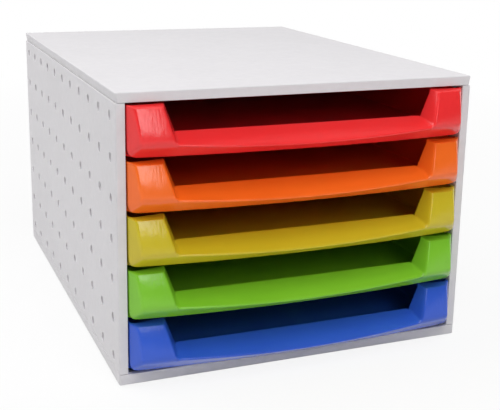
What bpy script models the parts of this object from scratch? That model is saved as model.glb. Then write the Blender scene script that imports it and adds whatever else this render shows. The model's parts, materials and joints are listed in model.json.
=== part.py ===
"""Desktop drawer unit: a light grey plastic case that holds five open-fronted drawers.

Metres, +Z up, +X across the width, -Y towards the front. The origin lies on the surface that the
feet stand on, under the middle of the closed unit.
"""
from math import cos, pi, radians, sin

import bmesh
import bpy
from mathutils import Matrix

# Outside of the case
CASE_WIDTH = 0.284
CASE_DEPTH = 0.370
CASE_HEIGHT = 0.2165  # without the feet
TOP_EDGE = 0.0075  # height of the top panel's edge
BASE_EDGE = 0.0082  # height of the base panel's edge
SIDE_EDGE = 0.0070  # width of a side panel's front edge
SIDE_EDGE_DEPTH = 0.0100  # from front to back
EDGE_ROUND = 0.0008
EDGE_SEGMENTS = 2

# Walls of the case panels, which are moulded hollow
SKIN = 0.0026
RIM = 0.0040  # wall round the hollow of the top, base and back panels
BACK_EDGE = 0.0070  # depth of the back panel's rim
SIDE_TOP_RIM = 0.0040  # height of a side panel's rim under the top panel

# Round dimples moulded into the outside of each side panel, in columns and rows
DIMPLE_DIAMETER = 0.0060
DIMPLE_DEPTH = 0.0011
DIMPLE_SIDES = 12
DIMPLE_COLUMNS = 11
DIMPLE_ROWS = 7
DIMPLE_FRONT_INSET = 0.0220  # from the case's front to the first column
DIMPLE_BACK_INSET = 0.0120  # from the last column to the case's back
DIMPLE_TOP_INSET = 0.0184  # from the case's top to the first row
DIMPLE_BASE_INSET = 0.0176  # from the last row to the case's underside

# Snap tongues on the side and back panels, which enter the hollows of the top and the base
TONGUES_PER_EDGE = 3
TONGUE_LENGTH = 0.0240
TONGUE_THICKNESS = 0.0024
TONGUE_HEIGHT = 0.0040
TONGUE_ROOT = 0.0020  # depth to which a tongue runs into its own panel

# Rubber feet, let into the underside of the base
FOOT_DIAMETER = 0.0140
FOOT_STANDOFF = 0.0015
FOOT_RECESS = 0.0012
FOOT_INSET = 0.0200  # from the case's outside to the middle of a foot
FOOT_SIDES = 24

# Clearances
SEAT_GAP = 0.0003  # between pieces that touch
FRONT_GAP = 0.0013  # above, below and between the drawer fronts
SIDE_GAP = 0.0008  # between a drawer and the case's front edge
STOP_GAP = 0.0005  # between a drawer at a limit and its stop

# Runners and stops moulded onto the side panels
RUNNER_THICKNESS = 0.0020
RUNNER_BITE = 0.0060  # width of a drawer's underside that lies on a runner
RUNNER_START = 0.0020  # from the front edge's rear to the runners' front ends
CLOSING_STOP_HEIGHT = 0.0060

# Drawers, from the lowest to the top one
DRAWER_NAMES = ("blue_drawer", "green_drawer", "yellow_drawer", "orange_drawer", "red_drawer")
DRAWER_COLOURS = (
    (0.028, 0.093, 0.527),
    (0.153, 0.462, 0.028),
    (0.552, 0.434, 0.023),
    (0.855, 0.138, 0.014),
    (0.745, 0.034, 0.042),
)
DRAWER_DEPTH = 0.3500  # from the case's front plane to the outside of the back wall
DRAWER_WALL = 0.0020
DRAWER_TRAVEL = 0.2500
RIM_DROP = 0.0016  # from the top of the front to the rim of the tray
RIM_STEP = 0.0040  # length over which the rim drops
CORNER_RADIUS = 0.0080  # of the rear corners, seen from above
CORNER_SEGMENTS = 4
LUG_BITE = 0.0024  # by which a pull-out lug overlaps the case's front edge
LUG_LENGTH = 0.0080
LUG_HEIGHT = 0.0120
LUG_LIFT = 0.0040  # above the drawer's underside

# Drawer front. Proud means in front of the case's front plane.
LIP_PROUD = 0.0170  # lip in the middle, the foremost point of the unit
LIP_HEIGHT = 0.0070  # lip in the middle, above the front's lower edge
LIP_SEGMENTS = 16
FACE_FOOT_PROUD = 0.0138  # lower edge of a post's face
FACE_FOOT_HEIGHT = 0.0112
FACE_TOP_PROUD = 0.0062  # upper edge of a post's face
FACE_BOW = 0.0010  # by which the face falls back towards its outer edge
TOP_BEVEL_DROP = 0.0018
RAMP_PROUD = -0.0016  # rear edge of the ramp behind the lip
RAMP_HEIGHT = 0.0174
POST_TOP_WIDTH = 0.0222
POST_FOOT_WIDTH = 0.0297
POST_BEVEL = 0.0079  # width of the bevel at a post's outer side
NOTCH_FLARE = 0.0030  # by which each side of the notch closes in towards the rear
NOTCH_TOP_PROUD = -0.0014
SIDE_TOP_PROUD = 0.0012  # front edge of the drawer's side, at its top
SIDE_FOOT_PROUD = 0.0023  # the same, low down
SIDE_FOOT_HEIGHT = 0.0052
FOOT_EDGE_PROUD = 0.0055  # lower edge of the front, in the middle
FOOT_EDGE_FALL = 0.0067  # by which that edge falls back towards the sides
UNDERSIDE_SLOPE = 0.0080  # behind the front plane, where the underside levels out

OVERCUT = 0.0100  # by which a cutter passes the stock

# Levels and places that follow from these sizes
HALF_WIDTH = CASE_WIDTH / 2
FRONT_Y = (LIP_PROUD - CASE_DEPTH) / 2
BACK_Y = FRONT_Y + CASE_DEPTH
CASE_TOP = FOOT_STANDOFF + CASE_HEIGHT
BASE_TOP = FOOT_STANDOFF + BASE_EDGE
TOP_UNDERSIDE = CASE_TOP - TOP_EDGE
WALL_LOW = BASE_TOP + SEAT_GAP
WALL_HIGH = TOP_UNDERSIDE - SEAT_GAP
DRAWERS = len(DRAWER_NAMES)
FRONT_HEIGHT = (TOP_UNDERSIDE - BASE_TOP - (DRAWERS + 1) * FRONT_GAP) / DRAWERS
PITCH = FRONT_HEIGHT + FRONT_GAP
DRAWER_HALF = HALF_WIDTH - SIDE_EDGE - SIDE_GAP
TRAY_LIFT = RUNNER_THICKNESS + 2 * SEAT_GAP  # underside of the tray above the front's lower edge
RIM_HEIGHT = FRONT_HEIGHT - RIM_DROP


def front_bottom(level):
    """Height of the lower edge of a drawer's front."""
    return BASE_TOP + FRONT_GAP + level * PITCH


def runner_top(level):
    return front_bottom(level) + TRAY_LIFT - SEAT_GAP


def clear_scene():
    for item in list(bpy.data.objects):
        bpy.data.objects.remove(item, do_unlink=True)


def plastic(name, colour, roughness):
    material = bpy.data.materials.new(name)
    material.use_nodes = True
    shader = material.node_tree.nodes["Principled BSDF"]
    shader.inputs["Base Color"].default_value = (*colour, 1.0)
    shader.inputs["Roughness"].default_value = roughness
    shader.inputs["Metallic"].default_value = 0.0
    return material


def place(name, mesh, location=(0.0, 0.0, 0.0)):
    piece = bpy.data.objects.new(name, mesh)
    piece.location = location
    bpy.context.scene.collection.objects.link(piece)
    return piece


def finish(piece, material):
    piece.data.materials.clear()
    piece.data.materials.append(material)


def mesh_from(bm, name):
    bmesh.ops.recalc_face_normals(bm, faces=bm.faces)
    mesh = bpy.data.meshes.new(name)
    bm.to_mesh(mesh)
    bm.free()
    return mesh


def block(name, x_span, y_span, z_span, rounding=0.0):
    """A box between three pairs of limits, with its edges rounded if asked."""
    spans = [sorted(span) for span in (x_span, y_span, z_span)]
    size = [high - low for low, high in spans]
    middle = [(high + low) / 2 for low, high in spans]
    bm = bmesh.new()
    stretch = Matrix.Translation(middle) @ Matrix.Diagonal((*size, 1.0))
    bmesh.ops.create_cube(bm, size=1.0, matrix=stretch)
    if rounding:
        bmesh.ops.bevel(
            bm, geom=bm.edges[:], offset=rounding, segments=EDGE_SEGMENTS, profile=0.5, affect="EDGES"
        )
    return place(name, mesh_from(bm, name))


def disc(name, centre, radius, z_span):
    bm = bmesh.new()
    low, high = z_span
    bmesh.ops.create_cone(
        bm,
        cap_ends=True,
        segments=FOOT_SIDES,
        radius1=radius,
        radius2=radius,
        depth=high - low,
        matrix=Matrix.Translation((*centre, (low + high) / 2)),
    )
    return place(name, mesh_from(bm, name))


def reshape(piece, operation, tools):
    """Cuts the piece with each tool in turn, or joins each one to it, and removes the tools."""
    for tool in tools:
        step = piece.modifiers.new(tool.name, "BOOLEAN")
        step.operation = operation
        step.solver = "EXACT"
        step.object = tool
    graph = bpy.context.evaluated_depsgraph_get()
    shaped = bpy.data.meshes.new_from_object(piece.evaluated_get(graph))
    piece.modifiers.clear()
    piece.data = shaped
    for tool in tools:
        bpy.data.objects.remove(tool, do_unlink=True)


def spread(low, high, count):
    """Middles of equal shares of a length."""
    return [low + (high - low) * (share + 0.5) / count for share in range(count)]


def tongue_spans(low, high):
    return [(middle - TONGUE_LENGTH / 2, middle + TONGUE_LENGTH / 2) for middle in
            spread(low, high, TONGUES_PER_EDGE)]


UPPER_TONGUE = (WALL_HIGH - TONGUE_ROOT, TOP_UNDERSIDE + TONGUE_HEIGHT)
LOWER_TONGUE = (BASE_TOP - TONGUE_HEIGHT, WALL_LOW + TONGUE_ROOT)
FOOT_PLACES = {
    "front_left_foot": (FOOT_INSET - HALF_WIDTH, FRONT_Y + FOOT_INSET),
    "front_right_foot": (HALF_WIDTH - FOOT_INSET, FRONT_Y + FOOT_INSET),
    "rear_left_foot": (FOOT_INSET - HALF_WIDTH, BACK_Y - FOOT_INSET),
    "rear_right_foot": (HALF_WIDTH - FOOT_INSET, BACK_Y - FOOT_INSET),
}


def top_panel(material):
    """A lid with a square rim, hollow underneath."""
    height = (TOP_UNDERSIDE, CASE_TOP)
    panel = block("top_panel", (-HALF_WIDTH, HALF_WIDTH), (FRONT_Y, BACK_Y), height, EDGE_ROUND)
    hollow = block(
        "top_hollow",
        (RIM - HALF_WIDTH, HALF_WIDTH - RIM),
        (FRONT_Y + RIM, BACK_Y - RIM),
        (TOP_UNDERSIDE - OVERCUT, CASE_TOP - SKIN),
    )
    reshape(panel, "DIFFERENCE", [hollow])
    finish(panel, material)


def base_panel(material):
    """The lid's counterpart, hollow on top, with a recess below for each foot."""
    height = (FOOT_STANDOFF, BASE_TOP)
    panel = block("base_panel", (-HALF_WIDTH, HALF_WIDTH), (FRONT_Y, BACK_Y), height, EDGE_ROUND)
    tools = [block(
        "base_hollow",
        (RIM - HALF_WIDTH, HALF_WIDTH - RIM),
        (FRONT_Y + RIM, BACK_Y - RIM),
        (FOOT_STANDOFF + SKIN, BASE_TOP + OVERCUT),
    )]
    for name, centre in FOOT_PLACES.items():
        depth = (FOOT_STANDOFF - OVERCUT, FOOT_STANDOFF + FOOT_RECESS)
        tools.append(disc(name + "_recess", centre, FOOT_DIAMETER / 2 + SEAT_GAP, depth))
    reshape(panel, "DIFFERENCE", tools)
    finish(panel, material)


def feet(material):
    for name, centre in FOOT_PLACES.items():
        foot = disc(name, centre, FOOT_DIAMETER / 2, (0.0, FOOT_STANDOFF + FOOT_RECESS - SEAT_GAP))
        finish(foot, material)


def steps(low, high, count):
    """Evenly spaced places from one limit to the other."""
    return [low + (high - low) * step / (count - 1) for step in range(count)]


def dimple_cutter(side):
    """All the dimples of one side panel as short cylinders across its outer face."""
    bm = bmesh.new()
    upright = Matrix.Rotation(radians(90), 4, "Y")
    middle_x = side * (HALF_WIDTH - DIMPLE_DEPTH + OVERCUT / 2)
    low = FOOT_STANDOFF + DIMPLE_BASE_INSET
    high = CASE_TOP - DIMPLE_TOP_INSET
    for y in steps(FRONT_Y + DIMPLE_FRONT_INSET, BACK_Y - DIMPLE_BACK_INSET, DIMPLE_COLUMNS):
        for z in steps(low, high, DIMPLE_ROWS):
            bmesh.ops.create_cone(
                bm,
                cap_ends=True,
                segments=DIMPLE_SIDES,
                radius1=DIMPLE_DIAMETER / 2,
                radius2=DIMPLE_DIAMETER / 2,
                depth=OVERCUT,
                matrix=Matrix.Translation((middle_x, y, z)) @ upright,
            )
    return place("dimples", mesh_from(bm, "dimples"))


def side_panel(name, side, material):
    """A wall with runners inside, cut from one block. side is -1 on the left and 1 on the right."""
    runner_x = DRAWER_HALF - RUNNER_BITE
    skin_x = HALF_WIDTH - SKIN
    edge_x = HALF_WIDTH - SIDE_EDGE
    edge_rear = FRONT_Y + SIDE_EDGE_DEPTH
    stop_y = FRONT_Y + DRAWER_DEPTH + STOP_GAP
    rear_y = BACK_Y - BACK_EDGE - STOP_GAP
    past = runner_x - OVERCUT
    whole_height = (WALL_LOW - OVERCUT, WALL_HIGH + OVERCUT)

    def across(inner, outer):
        return (side * inner, side * outer)

    stock = (WALL_LOW, WALL_HIGH)
    panel = block(name, across(runner_x, HALF_WIDTH), (FRONT_Y, BACK_Y), stock, EDGE_ROUND)
    runners_front = edge_rear + RUNNER_START
    cuts = [
        block("front_clearance", across(past, edge_x), (FRONT_Y - OVERCUT, runners_front), whole_height),
        block("back_clearance", across(past, skin_x), (rear_y, BACK_Y + OVERCUT), whole_height),
        block(
            "top_clearance",
            across(past, edge_x),
            (FRONT_Y - OVERCUT, BACK_Y + OVERCUT),
            (WALL_HIGH - 2 * SIDE_TOP_RIM, WALL_HIGH + OVERCUT),
        ),
    ]
    for level in range(DRAWERS):
        floor = runner_top(level)
        ceiling = runner_top(level + 1) - RUNNER_THICKNESS
        if level == DRAWERS - 1:
            ceiling = WALL_HIGH - SIDE_TOP_RIM
        stop_top = floor + CLOSING_STOP_HEIGHT
        width = across(past, skin_x)
        cuts.append(block("channel", width, (edge_rear, BACK_Y - BACK_EDGE), (stop_top, ceiling)))
        cuts.append(block("track", width, (edge_rear, stop_y), (floor, stop_top + STOP_GAP)))
    cuts.append(dimple_cutter(side))
    reshape(panel, "DIFFERENCE", cuts)

    tongue_outer = HALF_WIDTH - RIM - SEAT_GAP
    tongue_width = across(tongue_outer - TONGUE_THICKNESS, tongue_outer)
    tongues = []
    for y_span in tongue_spans(FRONT_Y, BACK_Y):
        for z_span in (UPPER_TONGUE, LOWER_TONGUE):
            tongues.append(block("tongue", tongue_width, y_span, z_span))
    reshape(panel, "UNION", tongues)
    finish(panel, material)


def back_panel(material):
    """A shallow pan that stands between the side panels, hollow towards the drawers."""
    half = HALF_WIDTH - SKIN - SEAT_GAP
    front = BACK_Y - BACK_EDGE
    panel = block("back_panel", (-half, half), (front, BACK_Y), (WALL_LOW, WALL_HIGH), EDGE_ROUND)
    hollow = block(
        "back_hollow",
        (RIM - half, half - RIM),
        (front - OVERCUT, BACK_Y - SKIN),
        (WALL_LOW + RIM, WALL_HIGH - RIM),
    )
    reshape(panel, "DIFFERENCE", [hollow])
    tongue_rear = BACK_Y - RIM - SEAT_GAP
    tongues = []
    for x_span in tongue_spans(-half, half):
        for z_span in (UPPER_TONGUE, LOWER_TONGUE):
            tongues.append(block("tongue", x_span, (tongue_rear - TONGUE_THICKNESS, tongue_rear), z_span))
    reshape(panel, "UNION", tongues)
    finish(panel, material)


def drawer_skin():
    """Outer skin of a drawer, open on top. y runs from the front plane, z from the front's lower edge."""
    bm = bmesh.new()
    notch_foot = DRAWER_HALF - POST_FOOT_WIDTH
    notch_top = DRAWER_HALF - POST_TOP_WIDTH
    crease_x = DRAWER_HALF - POST_BEVEL
    face_top_height = FRONT_HEIGHT - TOP_BEVEL_DROP

    def corner(x, proud, height):
        return bm.verts.new((x, -proud, height))

    def foot_edge(x):
        return corner(x, FOOT_EDGE_PROUD - FOOT_EDGE_FALL * (x / DRAWER_HALF) ** 2, 0.0)

    shares = [2 * step / LIP_SEGMENTS - 1 for step in range(LIP_SEGMENTS + 1)]
    lip = [corner(
        share * notch_foot,
        LIP_PROUD + (FACE_FOOT_PROUD - LIP_PROUD) * share ** 2,
        LIP_HEIGHT + (FACE_FOOT_HEIGHT - LIP_HEIGHT) * share ** 2,
    ) for share in shares]
    ramp = [corner(share * (notch_foot - NOTCH_FLARE), RAMP_PROUD, RAMP_HEIGHT) for share in shares]
    places = [-DRAWER_HALF, -crease_x] + [share * notch_foot for share in shares] + [crease_x, DRAWER_HALF]
    foot = [foot_edge(x) for x in places]
    level = [corner(x, -UNDERSIDE_SLOPE, TRAY_LIFT) for x in places]

    for step in range(LIP_SEGMENTS):
        bm.faces.new((ramp[step], lip[step], lip[step + 1], ramp[step + 1]))
        bm.faces.new((lip[step], foot[step + 2], foot[step + 3], lip[step + 1]))
    for step in range(len(places) - 1):
        bm.faces.new((foot[step], level[step], level[step + 1], foot[step + 1]))

    walls = []
    for side, first, second, third in ((-1, 0, 1, 2), (1, -1, -2, -3)):
        lip_end = lip[first]
        ramp_end = ramp[first]
        outer_foot = foot[first]
        side_low = corner(side * DRAWER_HALF, SIDE_FOOT_PROUD, SIDE_FOOT_HEIGHT)
        side_top = corner(side * DRAWER_HALF, SIDE_TOP_PROUD, FRONT_HEIGHT)
        crease_low = corner(side * crease_x, FACE_FOOT_PROUD - FACE_BOW, FACE_FOOT_HEIGHT)
        crease_top = corner(side * crease_x, FACE_TOP_PROUD - FACE_BOW, face_top_height)
        notch_front = corner(side * notch_top, FACE_TOP_PROUD, face_top_height)
        notch_rear = corner(side * (notch_top - NOTCH_FLARE), NOTCH_TOP_PROUD, FRONT_HEIGHT)
        step_top = corner(side * DRAWER_HALF, RIM_STEP - UNDERSIDE_SLOPE, FRONT_HEIGHT)
        step_low = corner(side * DRAWER_HALF, -UNDERSIDE_SLOPE, RIM_HEIGHT)
        bm.faces.new((crease_low, outer_foot, foot[second]))
        bm.faces.new((lip_end, crease_low, foot[second], foot[third]))
        bm.faces.new((outer_foot, side_low, crease_low))
        bm.faces.new((side_low, side_top, crease_top, crease_low))
        bm.faces.new((crease_low, crease_top, notch_front, lip_end))
        bm.faces.new((crease_top, side_top, notch_rear, notch_front))
        bm.faces.new((notch_front, notch_rear, ramp_end, lip_end))
        bm.faces.new((level[first], step_low, step_top, side_top, side_low, outer_foot))
        low_edge = [level[first]]
        high_edge = [step_low]
        for step in range(CORNER_SEGMENTS + 1):
            turn = step / CORNER_SEGMENTS * pi / 2
            x = side * (DRAWER_HALF - CORNER_RADIUS * (1 - cos(turn)))
            behind = DRAWER_DEPTH - CORNER_RADIUS * (1 - sin(turn))
            low_edge.append(corner(x, -behind, TRAY_LIFT))
            high_edge.append(corner(x, -behind, RIM_HEIGHT))
        walls.append((low_edge, high_edge))
    (left_low, left_high), (right_low, right_high) = walls
    around_low = left_low + right_low[::-1]
    around_high = left_high + right_high[::-1]
    for step in range(len(around_low) - 1):
        bm.faces.new((around_low[step], around_low[step + 1], around_high[step + 1], around_high[step]))
    floor = bm.faces.new(left_low[1:] + right_low[:0:-1] + level[::-1])

    bmesh.ops.recalc_face_normals(bm, faces=bm.faces)
    floor.normal_update()
    if floor.normal.z > 0:
        bmesh.ops.reverse_faces(bm, faces=bm.faces)
    mesh = bpy.data.meshes.new("drawer")
    bm.to_mesh(mesh)
    bm.free()
    return mesh


def drawer_mesh():
    """A drawer's skin thickened inwards to its wall, with a pull-out lug on each side."""
    drawer = place("drawer", drawer_skin())
    wall = drawer.modifiers.new("wall", "SOLIDIFY")
    wall.thickness = DRAWER_WALL
    wall.offset = -1.0
    wall.use_even_offset = True
    lug_front = DRAWER_TRAVEL + SIDE_EDGE_DEPTH + STOP_GAP
    lug_low = TRAY_LIFT + LUG_LIFT
    lugs = []
    for side in (-1, 1):
        lugs.append(block(
            "lug",
            (side * (DRAWER_HALF - DRAWER_WALL / 2), side * (DRAWER_HALF + SIDE_GAP + LUG_BITE)),
            (lug_front, lug_front + LUG_LENGTH),
            (lug_low, lug_low + LUG_HEIGHT),
        ))
    reshape(drawer, "UNION", lugs)
    mesh = drawer.data
    bpy.data.objects.remove(drawer, do_unlink=True)
    return mesh


def drawers():
    """Five alike drawers. Each one's origin lies on the case's front plane, on its slide's axis."""
    mesh = drawer_mesh()
    for level, (name, colour) in enumerate(zip(DRAWER_NAMES, DRAWER_COLOURS)):
        drawer = place(name, mesh.copy(), (0.0, FRONT_Y, front_bottom(level)))
        finish(drawer, plastic(name, colour, 0.25))


def build():
    clear_scene()
    grey = plastic("grey_plastic", (0.70, 0.69, 0.72), 0.45)
    rubber = plastic("rubber", (0.05, 0.05, 0.05), 0.8)
    base_panel(grey)
    feet(rubber)
    side_panel("left_side_panel", -1, grey)
    side_panel("right_side_panel", 1, grey)
    back_panel(grey)
    top_panel(grey)
    drawers()


build()
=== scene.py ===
"""The looks of a desktop drawer unit: a light grey moulded case with five bright, open-fronted drawers."""
import json
from math import cos, pi, radians, sin, sqrt

import bmesh
import bpy
from mathutils import Matrix, Vector

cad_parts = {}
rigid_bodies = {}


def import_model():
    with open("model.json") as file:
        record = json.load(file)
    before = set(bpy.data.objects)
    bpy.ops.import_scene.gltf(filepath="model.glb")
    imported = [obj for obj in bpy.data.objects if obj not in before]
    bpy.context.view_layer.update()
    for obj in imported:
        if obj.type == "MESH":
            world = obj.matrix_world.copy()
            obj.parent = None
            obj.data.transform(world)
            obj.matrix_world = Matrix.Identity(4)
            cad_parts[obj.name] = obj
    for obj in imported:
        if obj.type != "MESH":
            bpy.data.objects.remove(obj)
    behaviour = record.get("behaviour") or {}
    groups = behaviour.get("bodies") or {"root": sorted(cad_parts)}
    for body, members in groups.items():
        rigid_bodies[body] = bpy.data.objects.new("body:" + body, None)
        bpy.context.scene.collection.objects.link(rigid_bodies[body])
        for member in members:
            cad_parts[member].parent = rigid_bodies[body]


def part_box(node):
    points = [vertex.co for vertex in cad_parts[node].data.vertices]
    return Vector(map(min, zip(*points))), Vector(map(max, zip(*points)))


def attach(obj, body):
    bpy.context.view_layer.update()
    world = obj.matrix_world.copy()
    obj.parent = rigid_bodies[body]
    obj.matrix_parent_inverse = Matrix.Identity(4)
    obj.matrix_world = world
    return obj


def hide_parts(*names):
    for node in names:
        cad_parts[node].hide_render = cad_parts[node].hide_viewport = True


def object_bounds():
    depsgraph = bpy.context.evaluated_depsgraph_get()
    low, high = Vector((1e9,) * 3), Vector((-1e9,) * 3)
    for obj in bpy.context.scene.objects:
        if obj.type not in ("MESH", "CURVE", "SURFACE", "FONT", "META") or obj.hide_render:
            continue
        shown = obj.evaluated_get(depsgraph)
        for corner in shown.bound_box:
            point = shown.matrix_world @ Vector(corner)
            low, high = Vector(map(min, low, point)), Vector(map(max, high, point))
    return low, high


for leftover in list(bpy.data.objects):
    bpy.data.objects.remove(leftover)
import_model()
cad_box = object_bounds()

# Base panel: a shallow pan of light grey polystyrene, moulded in one shot with its hollow side up.
# Its rim is the band along the foot of the case. The side and back panels snap into it, and it has a
# round recess underneath for each foot.
PAN_RIM = 0.0040
PAN_SKIN = 0.0026
PAN_CORNER = 0.0014
HOLLOW_CORNER = 0.0010
FACE_ROUND = 0.0010
SEAM_ROUND = 0.0005
ROUND_STEPS = 4
CORNER_STEPS = 5
CIRCLE_STEPS = 8  # in each quarter
SHARP_ANGLE = radians(38)
GREY = (0.714, 0.697, 0.716, 1.0)
GREY_SHADE = (0.684, 0.668, 0.687, 1.0)
GREY_MOTTLE = 0.60  # share of the fine mottle in the clouds
GREY_ROUGHNESS = (0.48, 0.60)
SHADE_SPAN = (0.35, 0.65)  # values of a noise between which a colour changes
FINISH_SPAN = (0.30, 0.70)  # the same for a roughness
FOOT_RADIUS = 0.0070
FOOT_RECESS = 0.0012
RECESS_ROOM = 0.0003  # round each foot
RECESS_OVERCUT = 0.0020
FEET = ("front_left_foot", "front_right_foot", "rear_left_foot", "rear_right_foot")


def add_node(tree, kind, inputs=None, **settings):
    """Adds a shader node. An input is given as its value, or as the socket that feeds it."""
    node = tree.nodes.new(kind)
    for name, value in settings.items():
        setattr(node, name, value)
    for name, value in (inputs or {}).items():
        if isinstance(value, bpy.types.NodeSocket):
            tree.links.new(value, node.inputs[name])
        else:
            node.inputs[name].default_value = value
    return node


def new_material(name):
    """An empty node material, with the object's own coordinates to lay its grain on."""
    material = bpy.data.materials.new(name)
    material.use_nodes = True
    tree = material.node_tree
    tree.nodes.clear()
    place = add_node(tree, "ShaderNodeTexCoord").outputs["Object"]
    return material, tree, place


def noise(tree, place, scale, detail=2.0):
    """Soft random patches, smaller as the scale rises."""
    settings = {"Vector": place, "Scale": scale, "Detail": detail}
    return add_node(tree, "ShaderNodeTexNoise", settings).outputs["Fac"]


def shade_between(tree, factor, low, high):
    """A colour that goes from one shade to another as a noise rises."""
    ramp = add_node(tree, "ShaderNodeValToRGB", {"Fac": factor})
    for stop, position, colour in zip(ramp.color_ramp.elements, SHADE_SPAN, (low, high)):
        stop.position = position
        stop.color = colour
    return ramp.outputs["Color"]


def remap(tree, value, span, ends=(0.0, 1.0)):
    """A number that goes from one end to the other while a value crosses a span."""
    settings = {
        "Value": value,
        "From Min": span[0], "From Max": span[1],
        "To Min": ends[0], "To Max": ends[1],
    }
    return add_node(tree, "ShaderNodeMapRange", settings).outputs["Result"]


def raised(tree, height, strength, distance, over=None):
    """Fine relief, laid over another one where that is given."""
    settings = {"Strength": strength, "Distance": distance, "Height": height}
    if over is not None:
        settings["Normal"] = over
    return add_node(tree, "ShaderNodeBump", settings).outputs["Normal"]


def set_surface(tree, settings):
    """Ends a material in one shader with these settings."""
    shader = add_node(tree, "ShaderNodeBsdfPrincipled", settings)
    add_node(tree, "ShaderNodeOutputMaterial", {"Surface": shader.outputs["BSDF"]})


def case_plastic():
    """Satin grey: cloudy where the melt flowed, with the fine spark-eroded grain of the mould."""
    material, tree, place = new_material("case_plastic")
    clouds = noise(tree, place, scale=14.0, detail=3.0)
    mottle = noise(tree, place, scale=190.0)
    patches = noise(tree, place, scale=55.0, detail=4.0)
    grain = noise(tree, place, scale=2400.0)
    cloudy = add_node(tree, "ShaderNodeMix", {"Factor": GREY_MOTTLE, "A": clouds, "B": mottle})
    set_surface(tree, {
        "Base Color": shade_between(tree, cloudy.outputs["Result"], GREY_SHADE, GREY),
        "Roughness": remap(tree, patches, FINISH_SPAN, GREY_ROUGHNESS),
        "Specular IOR Level": 0.40,
        "Normal": raised(tree, grain, strength=0.12, distance=0.0002),
    })
    return material


def piece_from(name, bm):
    """Turns finished mesh data into an object in the scene."""
    bmesh.ops.recalc_face_normals(bm, faces=bm.faces)
    mesh = bpy.data.meshes.new(name)
    bm.to_mesh(mesh)
    bm.free()
    piece = bpy.data.objects.new(name, mesh)
    bpy.context.scene.collection.objects.link(piece)
    return piece


def quarter_turns(steps):
    """Angles of the points along a quarter round."""
    return [step / steps * pi / 2 for step in range(steps + 1)]


def rounded_outline(half_width, half_depth, corner, corner_steps):
    """Points round a rectangle with rounded corners, about its middle."""
    points = []
    for quarter, (side_x, side_y) in enumerate(((1, 1), (-1, 1), (-1, -1), (1, -1))):
        for step in range(corner_steps + 1):
            turn = (quarter + step / corner_steps) * pi / 2
            points.append((
                side_x * (half_width - corner) + corner * cos(turn),
                side_y * (half_depth - corner) + corner * sin(turn),
            ))
    return points


def join_rings(bm, rings):
    """Bands of faces from each closed ring of points to the next."""
    count = len(rings[0])
    for ring, following in zip(rings, rings[1:]):
        for i in range(count):
            j = (i + 1) % count
            bm.faces.new((ring[i], ring[j], following[j], following[i]))


def skin_through(name, levels, place, corner_steps=CORNER_STEPS):
    """A closed skin through rounded outlines, each given by its half width, half depth, corner and height."""
    bm = bmesh.new()
    rings = []
    for half_width, half_depth, corner, height in levels:
        outline = rounded_outline(half_width, half_depth, corner, corner_steps)
        rings.append([bm.verts.new(place @ Vector((x, y, height))) for x, y in outline])
    join_rings(bm, rings)
    bm.faces.new(rings[0])
    bm.faces.new(rings[-1])
    return piece_from(name, bm)


def circle(radius, height):
    """A level of a round piece."""
    return radius, radius, radius, height


def rounded_edge(half_width, half_depth, corner, height, radius, steps=ROUND_STEPS):
    """Levels that turn a wall into a face at a height. A negative radius rounds a lower edge."""
    levels = []
    for turn in quarter_turns(steps):
        inset = abs(radius) * (1 - cos(turn))
        level_height = height - radius * (1 - sin(turn))
        levels.append((half_width - inset, half_depth - inset, corner - inset, level_height))
    return levels


def pan(name, width, depth, thickness, place, draft=0.0):
    """A panel with a flat face on top and a rimmed hollow underneath. A draft draws its sides in below."""
    half_width, half_depth = width / 2, depth / 2
    hollow = (half_width - PAN_RIM, half_depth - PAN_RIM, HOLLOW_CORNER)
    levels = [(*hollow, thickness - PAN_SKIN), (*hollow, 0.0)]
    levels += rounded_edge(half_width - draft, half_depth, PAN_CORNER, 0.0, -SEAM_ROUND)[::-1]
    levels += rounded_edge(half_width, half_depth, PAN_CORNER, thickness, FACE_ROUND)
    return skin_through(name, levels, place)


def reshape(piece, operation, tools):
    """Cuts the piece with each tool, or joins each one to it, and removes the tools."""
    for tool in tools:
        step = piece.modifiers.new(tool.name, "BOOLEAN")
        step.operation = operation
        step.solver = "EXACT"
        step.object = tool
    graph = bpy.context.evaluated_depsgraph_get()
    shaped = bpy.data.meshes.new_from_object(piece.evaluated_get(graph))
    piece.modifiers.clear()
    piece.data = shaped
    for tool in tools:
        bpy.data.objects.remove(tool)


def finish_piece(piece, material, body, node):
    """Smooths the rounds, keeps the flats flat, and puts the piece in its node's place."""
    piece.data.materials.clear()
    piece.data.materials.append(material)
    piece.data.shade_smooth()
    piece.data.set_sharp_from_angle(angle=SHARP_ANGLE)
    flats = piece.modifiers.new("flats", "WEIGHTED_NORMAL")
    flats.keep_sharp = True
    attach(piece, body)
    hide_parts(node)


def under_foot(foot):
    """The place on the desk under the middle of a foot."""
    low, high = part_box(foot)
    middle = (low + high) / 2
    return Matrix.Translation((middle.x, middle.y, 0.0))


grey = case_plastic()
base_low, base_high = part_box("base_panel")
case_middle = (base_low + base_high) / 2
base_size = base_high - base_low
face_down = Matrix.Translation((case_middle.x, case_middle.y, base_high.z)) @ Matrix.Rotation(pi, 4, "X")
base = pan("base", base_size.x, base_size.y, base_size.z, face_down)
recess_ends = (base_low.z - RECESS_OVERCUT, base_low.z + FOOT_RECESS)
recess_levels = [circle(FOOT_RADIUS + RECESS_ROOM, height) for height in recess_ends]
recesses = [skin_through(foot + "_recess", recess_levels, under_foot(foot), CIRCLE_STEPS) for foot in FEET]
reshape(base, "DIFFERENCE", recesses)
finish_piece(base, grey, "case", "base_panel")

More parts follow.
